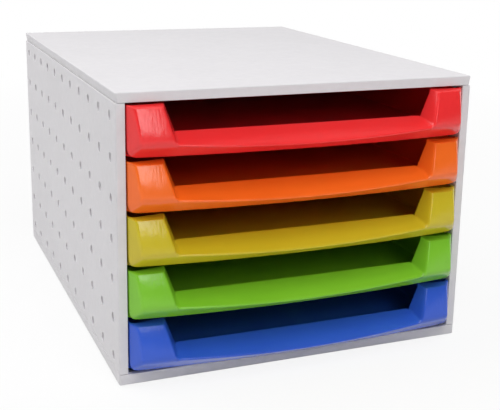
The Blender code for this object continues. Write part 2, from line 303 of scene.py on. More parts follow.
# Feet: four dark rubber pads, moulded with a rounded rim and a shallow cup underneath that grips the
# desk. Each one is glued into its recess in the base.
RUBBER = (0.045, 0.045, 0.047, 1.0)
RUBBER_DUST = (0.085, 0.084, 0.082, 1.0)
RUBBER_ROUGHNESS = (0.72, 0.90)
FOOT_ROUND = 0.0006
CUP_RADIUS = 0.0044
CUP_DEPTH = 0.0003
CUP_SLOPE = 0.0004  # by which the cup is narrower at its bottom


def foot_rubber():
    """Matt black rubber with a fine grain, greyed a little by dust."""
    material, tree, place = new_material("foot_rubber")
    dust = noise(tree, place, scale=420.0, detail=5.0)
    grain = noise(tree, place, scale=3200.0)
    set_surface(tree, {
        "Base Color": shade_between(tree, dust, RUBBER, RUBBER_DUST),
        "Roughness": remap(tree, dust, FINISH_SPAN, RUBBER_ROUGHNESS),
        "Normal": raised(tree, grain, strength=0.3, distance=0.0002),
    })
    return material


rubber = foot_rubber()
for foot in FEET:
    levels = [circle(CUP_RADIUS - CUP_SLOPE, CUP_DEPTH), circle(CUP_RADIUS, 0.0)]
    levels += rounded_edge(*circle(FOOT_RADIUS, 0.0), -FOOT_ROUND)[::-1]
    levels += [circle(FOOT_RADIUS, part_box(foot)[1].z)]
    pad = skin_through(foot.replace("foot", "pad"), levels, under_foot(foot), CIRCLE_STEPS)
    finish_piece(pad, rubber, "case", foot)

# Side panels: two mirrored walls of the same grey polystyrene. A grid of shallow round dimples covers
# the outside; inside are the front flange, a runner and a closing stop for each drawer and a rim on
# top, all moulded on. Tongues hold them between the base and the top.
DRAWERS = ("blue_drawer", "green_drawer", "yellow_drawer", "orange_drawer", "red_drawer")  # from the foot up
SEAM_GAP = 0.0003
WALL_SKIN = 0.0026
WALL_ROUND = 0.0010
WALL_TOP_ROUND = 0.0009
WALL_TOP_GAP = 0.0001
WALL_END_STEPS = 3
FLANGE_WIDTH = 0.0070
FLANGE_DEPTH = 0.0100
FLANGE_ROUND = 0.0007
BAR_STEPS = 3
BAR_END_ROUND = 0.9  # share of a bar's rounding that its upper and lower edges have
BAR_SUNK = 0.0004  # into the wall, or into the flange from inside
BAR_FLANGE_SUNK = 0.0010  # into the flange from behind
BAR_STEP = 0.0001  # between the faces of bars that are joined
RUNNER_REACH = 0.0138
RUNNER_THICKNESS = 0.0020
RUNNER_ROUND = 0.0004
RUNNER_DROP = 0.0023
RUNNER_START = 0.0020  # behind the flange
RUNNER_ROOT_LENGTH = 0.0040
RUNNER_ROOT_ROUND = 0.0002
STOP_FROM_FRONT = 0.3505
STOP_HEIGHT = 0.0060
STOP_SUNK = 0.0010
BACK_ROOM = 0.0075
TOP_RIM_HEIGHT = 0.0040
TOP_RIM_ROUND = 0.0003
DIMPLE_COLUMNS = 11
DIMPLE_ROWS = 7
DIMPLE_RADIUS = 0.0036
DIMPLE_DEPTH = 0.0014
DIMPLE_RIM = 0.00025
DIMPLE_FILLET = 0.0004
DIMPLE_STEPS = 24
DIMPLE_ROUND_STEPS = 3
DIMPLE_INSETS = {"front": 0.0168, "back": 0.0168, "top": 0.0184, "base": 0.0176}


def evenly(low, high, count):
    """Places at even steps from one end to the other."""
    return [low + (high - low) * step / (count - 1) for step in range(count)]


def between(low, middles, high):
    """Edges of cells round a row of middles."""
    return [low] + [(a + b) / 2 for a, b in zip(middles, middles[1:])] + [high]


def bar(name, x_span, y_span, z_span, radius):
    """A straight moulded bar with all its edges rounded."""
    low = Vector([min(span) for span in (x_span, y_span, z_span)])
    high = Vector([max(span) for span in (x_span, y_span, z_span)])
    size, middle = high - low, (low + high) / 2
    end_round = radius * BAR_END_ROUND
    levels = rounded_edge(size.x / 2, size.y / 2, radius, -size.z / 2, -end_round, BAR_STEPS)[::-1]
    levels += rounded_edge(size.x / 2, size.y / 2, radius, size.z / 2, end_round, BAR_STEPS)
    return skin_through(name, levels, Matrix.Translation(middle), BAR_STEPS)


def wall_profile(outer, front, back, edges_y):
    """The wall and its flange seen from above: each point with the way it draws in at a rounded end."""
    points = [((outer, y), (-1.0, 0.0)) for y in edges_y]
    turns = quarter_turns(ROUND_STEPS)
    for turn in turns[1:]:
        place = (outer - WALL_ROUND * (1 - cos(turn)), back - WALL_ROUND * (1 - sin(turn)))
        points.append((place, (-cos(turn), -sin(turn))))
    inner = outer - WALL_SKIN
    flange = outer - FLANGE_WIDTH
    points.append(((inner, back), (0.0, -1.0)))
    points.append(((inner, front + FLANGE_DEPTH), (0.0, 0.0)))
    points.append(((flange, front + FLANGE_DEPTH), (0.0, 0.0)))
    for turn in turns:
        place = (flange + FLANGE_ROUND * (1 - cos(turn)), front + FLANGE_ROUND * (1 - sin(turn)))
        points.append((place, (0.0, sin(turn))))
    for turn in turns[:-1]:
        place = (outer - WALL_ROUND * (1 - sin(turn)), front + WALL_ROUND * (1 - cos(turn)))
        points.append((place, (-sin(turn), cos(turn))))
    return points


def dimple_rings():
    """Radius and depth of each ring of a dimple, from its softly rounded rim to its floor."""
    rings = []
    turns = quarter_turns(DIMPLE_ROUND_STEPS)
    for turn in turns:
        rings.append((DIMPLE_RADIUS + DIMPLE_RIM * (1 - sin(turn)), DIMPLE_RIM * (1 - cos(turn))))
    for turn in turns:
        radius = DIMPLE_RADIUS - DIMPLE_FILLET * (1 - cos(turn))
        rings.append((radius, DIMPLE_DEPTH - DIMPLE_FILLET * (1 - sin(turn))))
    return rings


def press_dimple(bm, corners, side, outer, y, z):
    """Fills a cell of the outer face with a dimple. Its corners run round from the low front one."""
    turns = [2 * pi * step / DIMPLE_STEPS for step in range(DIMPLE_STEPS)]
    rings = []
    for radius, depth in dimple_rings():
        points = [(side * (outer - depth), y + radius * cos(turn), z + radius * sin(turn)) for turn in turns]
        rings.append([bm.verts.new(point) for point in points])
    quarter = DIMPLE_STEPS // 4
    low_front = 5 * quarter // 2  # the rim's point that is nearest to the first corner
    for edge in range(4):
        start = low_front + edge * quarter
        rim = [rings[0][(start + step) % DIMPLE_STEPS] for step in range(quarter + 1)]
        bm.faces.new([corners[edge], corners[(edge + 1) % 4]] + rim[::-1])
    join_rings(bm, rings)
    bm.faces.new(rings[-1])


def side_wall(name, side, low, high):
    """The dimpled wall with its flange. side is -1 on the left and 1 on the right."""
    outer = max(abs(low.x), abs(high.x))
    lowest_row = base_low.z + DIMPLE_INSETS["base"]
    highest_row = cad_box[1].z - DIMPLE_INSETS["top"]
    middles_y = evenly(low.y + DIMPLE_INSETS["front"], high.y - DIMPLE_INSETS["back"], DIMPLE_COLUMNS)
    middles_z = evenly(lowest_row, highest_row, DIMPLE_ROWS)
    edges_y = between(low.y + WALL_ROUND, middles_y, high.y - WALL_ROUND)
    edges_z = between(low.z + SEAM_ROUND, middles_z, high.z - WALL_TOP_ROUND)
    profile = wall_profile(outer, low.y, high.y, edges_y)

    ends = [(1 - cos(turn), sin(turn)) for turn in quarter_turns(WALL_END_STEPS)[1:]]
    levels = [(edges_z[0] - fall * SEAM_ROUND, inset * SEAM_ROUND) for inset, fall in ends[::-1]]
    levels += [(z, 0.0) for z in edges_z]
    levels += [(edges_z[-1] + rise * WALL_TOP_ROUND, inset * WALL_TOP_ROUND) for inset, rise in ends]

    bm = bmesh.new()
    rings = [[bm.verts.new((side * (x + inset * way_x), y + inset * way_y, z))
              for (x, y), (way_x, way_y) in profile] for z, inset in levels]
    count = len(profile)
    for row, (ring, following) in enumerate(zip(rings, rings[1:]), -len(ends)):
        for i in range(count):
            j = (i + 1) % count
            corners = (ring[i], ring[j], following[j], following[i])
            if i < DIMPLE_COLUMNS and 0 <= row < DIMPLE_ROWS:
                press_dimple(bm, corners, side, outer, middles_y[i], middles_z[row])
            else:
                bm.faces.new(corners)
    bm.faces.new(rings[0])
    bm.faces.new(rings[-1])
    return piece_from(name, bm)


def runner_bars(side, low, high):
    """Runners, closing stops and the rim on top, sunk a little way into the wall and the flange."""
    outer = max(abs(low.x), abs(high.x))
    root = side * (outer - WALL_SKIN + BAR_SUNK)
    tip = side * (outer - RUNNER_REACH)
    shoulder = side * (outer - FLANGE_WIDTH)
    flange_rear = low.y + FLANGE_DEPTH
    in_flange = flange_rear - BAR_FLANGE_SUNK
    rear = high.y - BACK_ROOM
    runner_y = (flange_rear + RUNNER_START, rear)
    runner_root_x = (shoulder + side * BAR_SUNK, root)
    runner_root_y = (in_flange, flange_rear + RUNNER_ROOT_LENGTH)
    stop_y = (low.y + STOP_FROM_FRONT, rear - BAR_STEP)
    bars = []
    for drawer in DRAWERS:
        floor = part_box(drawer)[0].z + RUNNER_DROP
        under = low.z if drawer == DRAWERS[0] else floor - RUNNER_THICKNESS
        runner_root_z = (under + BAR_STEP, floor - BAR_STEP)
        stop_z = (floor - STOP_SUNK, floor + STOP_HEIGHT)
        bars.append(bar("runner", (tip, root), runner_y, (under, floor), RUNNER_ROUND))
        bars.append(bar("runner_root", runner_root_x, runner_root_y, runner_root_z, RUNNER_ROOT_ROUND))
        bars.append(bar("stop", (tip, root), stop_y, stop_z, RUNNER_ROUND))
    top_rim_z = (high.z - TOP_RIM_HEIGHT, high.z - WALL_TOP_ROUND)
    bars.append(bar("top_rim", (shoulder, root), (in_flange, rear), top_rim_z, TOP_RIM_ROUND))
    return bars


top_low, top_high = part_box("top_panel")
for node, side in (("left_side_panel", -1), ("right_side_panel", 1)):
    low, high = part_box(node)
    low.z, high.z = base_high.z + SEAM_GAP, top_low.z - WALL_TOP_GAP
    wall = side_wall(node.replace("panel", "wall"), side, low, high)
    reshape(wall, "UNION", runner_bars(side, low, high))
    finish_piece(wall, grey, "case", node)

# Back panel: a third, smaller pan of the grey polystyrene. It stands between the side panels with its
# hollow towards the drawers, and its tongues snap into the base and the top.
back_low, back_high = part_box("back_panel")
back_low.z, back_high.z = base_high.z + SEAM_GAP, top_low.z - SEAM_GAP
back_size = back_high - back_low
back_middle = (back_low + back_high) / 2
face_back = Matrix.Translation((back_middle.x, back_low.y, back_middle.z)) @ Matrix.Rotation(-pi / 2, 4, "X")
back = pan("back", back_size.x, back_size.z, back_size.y, face_back)
finish_piece(back, grey, "case", "back_panel")

# Top panel: the lid, the base's counterpart with its hollow side down. Its edge shows as a band above
# the drawers, and its left and right sides lean in a little towards the seam with the side panels.
LID_DRAFT = 0.0012
top_size = top_high - top_low
face_up = Matrix.Translation((case_middle.x, case_middle.y, top_low.z))
top = pan("top", top_size.x, top_size.y, top_size.z, face_up, LID_DRAFT)
finish_piece(top, grey, "case", "top_panel")

# Drawers: five alike trays of glossy coloured polystyrene, each moulded in one shot with a 2 mm wall.
# The front is folded forward into two posts with a low bowed lip between them, which leaves a wide
# notch for paper and fingers. They slide on the side panels' runners, and a lug on each side stops them.
MM = 0.001  # this section's sizes are millimetres: x from the middle, proud of the case's front, and height
DRAWER_HALF = 134.2
DRAWER_WALL = 2.0
DRAWER_DEPTH = 350.0
FRONT_HEIGHT = 38.0
LIP_PROUD = 17.8
LIP_HEIGHT = 7.0
LIP_ROUND = 3.6
FACE_FOOT_PROUD = 14.3
FACE_FOOT_HEIGHT = 11.2
FACE_TOP_PROUD = 6.1
FACE_TOP_HEIGHT = 36.7
FACE_CROWN = 0.38
FACE_BOW = 0.0029
FACE_FOOT_ROUND = 4.6
NOTCH_FOOT = 102.5
NOTCH_TOP = 109.4
NOTCH_REAR_FOOT = 99.0
NOTCH_REAR_TOP = 107.0
NOTCH_ROUND = 3.0
CREASE_FOOT = 127.3
CREASE_TOP = 129.6
CREASE_ROUND = 1.6
RAMP_PROUD = -1.6
RAMP_HEIGHT = 17.4
RAMP_END_FALL = 4.0  # for each millimetre across, where the ramp ends under a post
RAMP_END_INSET = 1.5
RAMP_END_ROUND = 1.0
TOP_SIDE_PROUD = 1.2
TOP_ROUND = 1.8
SIDE_FOOT_PROUD = 2.3
SIDE_FOOT_HEIGHT = 5.2
SIDE_LEAN = 0.08
SIDE_ROUND = 0.8
FOOT_PROUD = 9.0
FOOT_FALL = 8.5
FOOT_HEIGHT = 1.4
CORNER_ROUND = 6.0
CORNER_START = 126.0
FILLET_TOP = 2.5  # between a post and the ramp, and how it grows down the ramp
FILLET_FOOT = 8.0
FILLET_GROWTH = 5.0
EDGE_GROWTH = 8.0  # stretch in which the lip's round becomes that of a post's foot

# The inside of the front's wall: how far its edges lie from the skin's, and what a face's lean adds
INNER_FOOT_RISE = 2.1
INNER_LIP_RISE = 0.2
INNER_RAMP_FALL = 1.6
INNER_TOP_FALL = 1.8
INNER_NOTCH_INSET = 1.8
FACE_LEAN = 1.05
BEVEL_LEAN = 1.05
NOTCH_LEAN = 1.2

# The tray behind the front, with the outside and the inside of its wall: first the cheeks, then the rest
CHEEK_Y = 4.0
CHEEK = {"low": (1.8, 4.0), "high": 37.6, "rounds": (1.0, 0.8)}
TRAY = {"low": (2.6, 4.6), "high": 36.0, "rounds": (2.5, 1.8)}
TRAY_CORNER = 8.0
TRAY_CORNER_STEPS = 6
TRAY_STATIONS = (8.0, 120.0, 240.0)
RIM_TURNS = (pi / 4, pi / 2, 3 * pi / 4)
LUG_SPANS = ((133.2, 137.4), (260.5, 268.5), (6.6, 18.6))
LUG_ROUND = 0.8

DRAWER_COLOURS = {
    "red": ((0.890, 0.030, 0.032, 1.0), (0.850, 0.026, 0.028, 1.0)),
    "orange": ((0.960, 0.162, 0.015, 1.0), (0.920, 0.146, 0.012, 1.0)),
    "yellow": ((0.610, 0.490, 0.019, 1.0), (0.580, 0.462, 0.016, 1.0)),
    "green": ((0.215, 0.570, 0.029, 1.0), (0.197, 0.540, 0.025, 1.0)),
    "blue": ((0.031, 0.108, 0.640, 1.0), (0.027, 0.098, 0.600, 1.0)),
}
DRAWER_ROUGHNESS = (0.15, 0.23)
STREAK_SCALE = (560.0, 560.0, 26.0)
STREAKS_ACROSS = (0.102, 0.106)  # in metres, from the middle: where the streaks begin on the posts
STREAKS_UP = (0.012, 0.018)  # and above the drawer's foot

# Rows and columns of the front's mesh, closest where it bends
CHAMFER_ROWS = (0.0, 0.06, 0.16, 0.30, 0.46, 0.60, 0.70, 0.78, 0.84, 0.89, 0.93, 0.965)
RAMP_ROWS = (0.0, 0.03, 0.06, 0.10, 0.15, 0.22, 0.32, 0.45, 0.60, 0.75, 0.88, 0.96, 1.0)
POST_ROWS = (18.2, 19.4, 21.2, 23.8, 26.8, 29.8, 32.4, 34.2, 35.3, 35.9, 36.2, 36.4, 36.55, 36.7, 36.85,
             37.0, 37.2, 37.45, 37.7, 37.87, 38.0)
NOTCH_SHARES = (0.0, 0.06, 0.12, 0.18, 0.24, 0.30, 0.36, 0.42, 0.48, 0.54, 0.60, 0.66, 0.72, 0.78,
                0.84, 0.88, 0.91, 0.935, 0.955, 0.97, 0.982, 0.992)
POST_WALL_SHARES = (0.0, 0.06, 0.13, 0.22, 0.34, 0.48, 0.60, 0.70, 0.79, 0.87, 0.94, 1.0)
POST_FACE_STEPS = (0.3, 0.6, 1.0, 1.6)
POST_FACE_SHARES = (0.25, 0.5, 0.75, 1.0)
POST_FACE_END = 121.8
POST_CREASE_PLACES = (122.6, 123.6, 124.5, 125.2, 125.8, 126.4, 126.9, 127.4, 127.9, 128.4, 128.9, 129.4,
                      129.9, 130.4, 131.0, 131.6)
POST_SIDE_PLACES = (132.3, 132.9, 133.3, 133.6, 133.8, 133.97, 134.08, 134.16, 134.2)


def part_way(low, high, share):
    """The value at a share of the way from one to another."""
    return low + (high - low) * share


def held(share):
    """A share kept between none and all."""
    return min(max(share, 0.0), 1.0)


def soft_min(a, b, reach):
    """The smaller of two, with a round where they meet."""
    overlap = max(reach - abs(a - b), 0.0) / reach
    return min(a, b) - overlap * overlap * reach / 4


def soft_max(a, b, reach):
    """The larger of two, with a round where they meet."""
    return -soft_min(-a, -b, reach)


def set_back(depth, slope, lean=1.0):
    """How far behind a sloping skin the inside of its wall lies."""
    return depth * sqrt(lean + slope ** 2)


def bowed(x, start):
    """How far a post's face has fallen back, outwards from the edge of the notch."""
    return FACE_BOW * max(x - start, 0.0) ** 2


def notch_edges(z):
    """Where the side of the notch begins at the rear, and where it meets the post's face, at a height."""
    rear_share = (z - RAMP_HEIGHT) / (FRONT_HEIGHT - RAMP_HEIGHT)
    front_share = (z - FACE_FOOT_HEIGHT) / (FACE_TOP_HEIGHT - FACE_FOOT_HEIGHT)
    rear = part_way(NOTCH_REAR_FOOT, NOTCH_REAR_TOP, rear_share)
    return rear, part_way(NOTCH_FOOT, NOTCH_TOP, front_share)


def side_edge_at(z):
    """Half the front's width at a height: less at its foot, where the corners are rounded."""
    below = held((FOOT_HEIGHT + CORNER_ROUND - z) / CORNER_ROUND)
    return DRAWER_HALF - CORNER_ROUND * (1 - sqrt(1 - below ** 2))


def lip_surfaces(x, z, depth):
    """The chamfer under the lip, and the ramp behind it that ends under the posts."""
    share = min(x / NOTCH_FOOT, 1.0) ** 2
    lip_height = part_way(LIP_HEIGHT, FACE_FOOT_HEIGHT, share)
    lip_proud = part_way(LIP_PROUD, FACE_FOOT_PROUD, share) - bowed(x, NOTCH_FOOT)
    foot_proud = FOOT_PROUD - FOOT_FALL * (x / DRAWER_HALF) ** 2
    chamfer_slope = (lip_proud - foot_proud) / (lip_height - FOOT_HEIGHT)
    chamfer = foot_proud + (z - FOOT_HEIGHT) * chamfer_slope - set_back(depth, chamfer_slope)
    ramp_slope = (lip_proud - RAMP_PROUD) / (RAMP_HEIGHT - lip_height)
    ramp = RAMP_PROUD + (RAMP_HEIGHT - z) * ramp_slope - set_back(depth, ramp_slope)
    ramp_end = FACE_FOOT_PROUD - RAMP_END_FALL * (x - NOTCH_FOOT + RAMP_END_INSET)
    return chamfer, soft_min(ramp, ramp_end, RAMP_END_ROUND)


def post_surface(x, z, depth):
    """A post: its face, the bevel at its outer side, its top, and the side of the notch."""
    notch_rear, notch_front = notch_edges(z)
    rise = (z - FACE_FOOT_HEIGHT) / (FACE_TOP_HEIGHT - FACE_FOOT_HEIGHT)
    face_edge = part_way(FACE_FOOT_PROUD, FACE_TOP_PROUD, rise * part_way(1 - FACE_CROWN, 1.0, rise))
    face = face_edge - bowed(x, notch_front) - depth * FACE_LEAN

    crease_x = part_way(CREASE_FOOT, CREASE_TOP, rise)
    crease = face_edge - FACE_BOW * (crease_x - notch_front) ** 2
    side_edge = SIDE_FOOT_PROUD - SIDE_LEAN * (z - SIDE_FOOT_HEIGHT)
    bevel_slope = (side_edge - crease) / (DRAWER_HALF - crease_x)
    bevel = crease + bevel_slope * (x - crease_x) - set_back(depth, bevel_slope, BEVEL_LEAN)

    top_share = (x - NOTCH_REAR_TOP) / (DRAWER_HALF - NOTCH_REAR_TOP)
    top_rear = part_way(RAMP_PROUD, TOP_SIDE_PROUD, top_share)
    top_front = FACE_TOP_PROUD - bowed(x, NOTCH_TOP)
    top_slope = (top_front - top_rear) / (FRONT_HEIGHT - FACE_TOP_HEIGHT)
    top = top_rear + (FRONT_HEIGHT - z) * top_slope - set_back(depth, top_slope)

    wall_slope = (face_edge - RAMP_PROUD) / (notch_front - notch_rear)
    wall = RAMP_PROUD + wall_slope * (x - notch_rear) - set_back(depth, wall_slope, NOTCH_LEAN)

    post = soft_min(face, bevel, CREASE_ROUND)
    post = soft_min(post, top, TOP_ROUND)
    return soft_min(post, wall, NOTCH_ROUND)


def front_surface(x, z, depth):
    """How far the drawer's front stands proud at a place, at a depth below its skin."""
    chamfer, ramp = lip_surfaces(x, z, depth)
    fillet = part_way(FILLET_TOP, FILLET_FOOT, held((RAMP_HEIGHT - z) / FILLET_GROWTH))
    edge_round = part_way(LIP_ROUND, FACE_FOOT_ROUND, held((x - NOTCH_REAR_FOOT) / EDGE_GROWTH))
    proud = soft_min(soft_max(post_surface(x, z, depth), ramp, fillet), chamfer, edge_round)
    if depth == 0.0:
        reach = held((x - side_edge_at(z) + SIDE_ROUND) / SIDE_ROUND)
        proud -= SIDE_ROUND * (1 - sqrt(1 - reach ** 2))
    return proud


def front_rows():
    """The rows of the front from its foot up: which stretch each one is in, and how far along."""
    rows = [("chamfer", share) for share in CHAMFER_ROWS]
    rows += [("ramp", share) for share in RAMP_ROWS]
    return rows + [("post", height) for height in POST_ROWS]


def front_columns():
    """The columns from the left edge to the right one: across the notch, or across a post."""
    post = [("wall", share) for share in POST_WALL_SHARES]
    post += [("step", step) for step in POST_FACE_STEPS]
    post += [("face", share) for share in POST_FACE_SHARES]
    post += [("place", x) for x in POST_CREASE_PLACES + POST_SIDE_PLACES]
    right = [("notch", share) for share in NOTCH_SHARES[1:]] + post
    left = [(stretch, -share if stretch == "notch" else share) for stretch, share in right[::-1]]
    sides = [-1] * len(left) + [1] * (len(right) + 1)
    return list(zip(sides, left + [("notch", 0.0)] + right)), len(post)


def front_height(row, share, depth):
    """A row's height where the lip has risen by that share of its bow."""
    stretch, along = row
    lip = part_way(LIP_HEIGHT, FACE_FOOT_HEIGHT, share ** 2)
    foot, rear, top = FOOT_HEIGHT, RAMP_HEIGHT, FRONT_HEIGHT
    if depth:
        foot, lip = FOOT_HEIGHT + INNER_FOOT_RISE, lip + INNER_LIP_RISE
        rear, top = RAMP_HEIGHT - INNER_RAMP_FALL, FRONT_HEIGHT - INNER_TOP_FALL
    if stretch == "chamfer":
        return part_way(foot, lip, along)
    if stretch == "ramp":
        return part_way(lip, rear, along)
    return part_way(rear, top, (along - RAMP_HEIGHT) / (FRONT_HEIGHT - RAMP_HEIGHT))


def front_point(row, column, depth):
    """A point of the front's skin, or of the back of its wall."""
    side, (stretch, along) = column
    share = abs(along) if stretch == "notch" else 1.0
    z = front_height(row, share, 0.0)
    notch_rear, notch_front = notch_edges(z)
    x = {
        "notch": share * notch_rear,
        "wall": part_way(notch_rear, notch_front, along),
        "step": notch_front + along,
        "face": part_way(notch_front + POST_FACE_STEPS[-1], POST_FACE_END, along),
        "place": along,
    }[stretch]
    if x > CORNER_START:
        narrowed = (side_edge_at(z) - CORNER_START) / (DRAWER_HALF - CORNER_START)
        x = CORNER_START + (x - CORNER_START) * narrowed
    if depth:
        edge = notch_rear + INNER_NOTCH_INSET
        reach = (x - notch_rear) / (DRAWER_HALF - notch_rear)
        x = share * edge if stretch == "notch" else part_way(edge, DRAWER_HALF - DRAWER_WALL, reach)
        z = front_height(row, share, depth)
    return Vector((side * x, -front_surface(x, z, depth), z))


def tray_outline():
    """Stations round the tray's walls behind the front, from the right to the left, each with its way out."""
    straight = DRAWER_DEPTH - TRAY_CORNER
    right = [((DRAWER_HALF, y), (1, 0.0)) for y in TRAY_STATIONS]
    for turn in quarter_turns(TRAY_CORNER_STEPS):
        x = DRAWER_HALF - TRAY_CORNER * (1 - cos(turn))
        right.append(((x, straight + TRAY_CORNER * sin(turn)), (cos(turn), sin(turn))))
    left = [((-x, y), (-way_x, way_y)) for (x, y), (way_x, way_y) in right[::-1]]
    return right + left


ROWS = front_rows()
COLUMNS, POST_COLUMNS = front_columns()
STATIONS = tray_outline()
LAST_ROW = len(ROWS) - 1
LAST_COLUMN = len(COLUMNS) - 1
LAST_STATION = len(STATIONS) - 1
RAMP_ROW = len(CHAMFER_ROWS) + len(RAMP_ROWS) - 1
LEFT_NOTCH = POST_COLUMNS - 1
RIGHT_NOTCH = LAST_COLUMN - LEFT_NOTCH


def in_front(row, column):
    """Whether the front has a point there: above the ramp, only its posts go on."""
    return row <= RAMP_ROW or column <= LEFT_NOTCH or column >= RIGHT_NOTCH


def upright_points(key, place, way, section):
    """One station of the tray's wall: its upright line, and the round that leads from it to the floor."""
    skins = []
    for wall, low, radius in zip((0.0, DRAWER_WALL), section["low"], section["rounds"]):
        skins.append((Vector((place[0] - way[0] * wall, place[1] - way[1] * wall, 0.0)), low, radius))
    inward = Vector((-way[0], -way[1], 0.0))
    points = {}
    for r, row in enumerate(ROWS):
        share = front_height(row, 1.0, 0.0) / FRONT_HEIGHT
        heights = [part_way(low + radius, section["high"], share) for _, low, radius in skins]
        points[(*key, "wall", r)] = [skin + Vector((0.0, 0.0, z)) for (skin, _, _), z in zip(skins, heights)]
    for step, turn in enumerate(quarter_turns(ROUND_STEPS)[:-1]):
        points[(*key, "round", step)] = [
            skin + inward * radius * (1 - sin(turn)) + Vector((0.0, 0.0, low + radius * (1 - cos(turn))))
            for skin, low, radius in skins
        ]
    return points


def tray_points():
    """Every point of the tray by its name, on the outer skin and on the inside of the wall."""
    points = {}
    for r, row in enumerate(ROWS):
        for c, column in enumerate(COLUMNS):
            if in_front(r, c):
                points["front", r, c] = [front_point(row, column, depth) for depth in (0.0, DRAWER_WALL)]
    for side in (1, -1):
        points.update(upright_points(("cheek", side), (side * DRAWER_HALF, CHEEK_Y), (side, 0.0), CHEEK))
    for s, (place, way) in enumerate(STATIONS):
        points.update(upright_points(("tray", s), place, way, TRAY))
    edge = points["front", 0, LAST_COLUMN]
    for name, station in (("cheek", 1), ("tray", 0)):
        corner = points[name, station, "round", 0]
        for c in range(LAST_COLUMN + 1):
            foot = points["front", 0, c]
            points["under", name, c] = [
                Vector((foot[k].x * abs(corner[k].x) / abs(edge[k].x), corner[k].y, corner[k].z))
                for k in (0, 1)
            ]
    return points


def shared_name(key):
    """The one name of a point that two stretches share."""
    family, *rest = key
    if family == "cheek" and rest[1:] == ["round", 0]:
        return ("under", "cheek", LAST_COLUMN if rest[0] == 1 else 0)
    if family == "tray" and rest[1:] == ["round", 0] and rest[0] in (0, LAST_STATION):
        return ("under", "tray", LAST_COLUMN if rest[0] == 0 else 0)
    if rest[1:] == ["round", ROUND_STEPS]:
        return (family, rest[0], "wall", 0)
    return key


def strip(line, following):
    """Faces between two lines of points."""
    return [[line[i], following[i], following[i + 1], line[i + 1]] for i in range(len(line) - 1)]


def tray_faces():
    """The faces of one skin of the tray, by the names of their points."""
    faces = []
    for r in range(LAST_ROW):
        for c in range(LAST_COLUMN):
            beside_notch = r >= RAMP_ROW and c == LEFT_NOTCH
            if in_front(r + 1, c) and in_front(r + 1, c + 1) and not beside_notch:
                corners = ((r, c), (r, c + 1), (r + 1, c + 1), (r + 1, c))
                faces.append([("front", *corner) for corner in corners])

    columns = range(LAST_COLUMN + 1)
    cheek_line = [("under", "cheek", c) for c in columns]
    floor_line = [("under", "tray", c) for c in columns]
    faces += strip([("front", 0, c) for c in columns], cheek_line)
    faces += strip(cheek_line, floor_line)
    faces.append(floor_line + [("tray", s, "round", 0) for s in range(1, LAST_STATION)])

    def wall_line(station):
        return [(*station, "wall", r) for r in range(LAST_ROW + 1)]

    def round_line(station):
        return [(*station, "round", step) for step in range(ROUND_STEPS + 1)]

    for side, edge in ((1, LAST_COLUMN), (-1, 0)):
        faces += strip([("front", r, edge) for r in range(LAST_ROW + 1)], wall_line(("cheek", side)))
        foot = round_line(("cheek", side))
        faces += [[("front", 0, edge), foot[step], foot[step + 1]] for step in range(ROUND_STEPS)]
    stations = [("cheek", 1)] + [("tray", s) for s in range(LAST_STATION + 1)] + [("cheek", -1)]
    for start, end in zip(stations, stations[1:]):
        faces += strip(wall_line(start), wall_line(end))
        faces += strip(round_line(start), round_line(end))
    return [[shared_name(key) for key in face] for face in faces]


def tray_rim():
    """The names of the points round the tray's upper edge: the notch, the posts and the walls."""
    rim = [("front", RAMP_ROW, c) for c in range(LEFT_NOTCH, RIGHT_NOTCH + 1)]
    rim += [("front", r, RIGHT_NOTCH) for r in range(RAMP_ROW + 1, LAST_ROW + 1)]
    rim += [("front", LAST_ROW, c) for c in range(RIGHT_NOTCH + 1, LAST_COLUMN + 1)]
    rim += [("cheek", 1, "wall", LAST_ROW)]
    rim += [("tray", s, "wall", LAST_ROW) for s in range(LAST_STATION + 1)]
    rim += [("cheek", -1, "wall", LAST_ROW)]
    rim += [("front", LAST_ROW, c) for c in range(LEFT_NOTCH + 1)]
    return rim + [("front", r, LEFT_NOTCH) for r in range(LAST_ROW - 1, RAMP_ROW, -1)]


def drawer_tray():
    """The tray as one closed mesh with a rounded rim, and its two pull-out lugs."""
    points, faces, rim = tray_points(), tray_faces(), tray_rim()
    bm = bmesh.new()
    used = sorted({key for face in faces for key in face}, key=str)
    skins = [{key: bm.verts.new(points[key][k] * MM) for key in used} for k in (0, 1)]
    for face in faces:
        bm.faces.new([skins[0][key] for key in face])
        bm.faces.new([skins[1][key] for key in face[::-1]])

    arches = []
    for i, key in enumerate(rim):
        outer, inner = (skins[k][key].co for k in (0, 1))
        along = skins[0][rim[(i + 1) % len(rim)]].co - skins[0][rim[i - 1]].co
        half = (outer - inner) / 2
        crown = half.cross(along).normalized() * half.length
        middle = (outer + inner) / 2
        arch = [bm.verts.new(middle + half * cos(turn) + crown * sin(turn)) for turn in RIM_TURNS]
        arches.append([skins[0][key]] + arch + [skins[1][key]])
    for i, arch in enumerate(arches):
        following = arches[(i + 1) % len(arches)]
        for k in range(len(arch) - 1):
            bm.faces.new((arch[k], following[k], following[k + 1], arch[k + 1]))

    tray = piece_from("tray", bm)
    lugs = []
    for side in (-1, 1):
        spans = [[way * MM * end for end in span] for way, span in zip((side, 1, 1), LUG_SPANS)]
        lugs.append(bar("lug", *spans, LUG_ROUND * MM))
    reshape(tray, "UNION", lugs)
    mesh = tray.data
    bpy.data.objects.remove(tray)
    return mesh


def calculate(tree, operation, *values):
    """An operation on one or two numbers."""
    return add_node(tree, "ShaderNodeMath", dict(enumerate(values)), operation=operation).outputs["Value"]


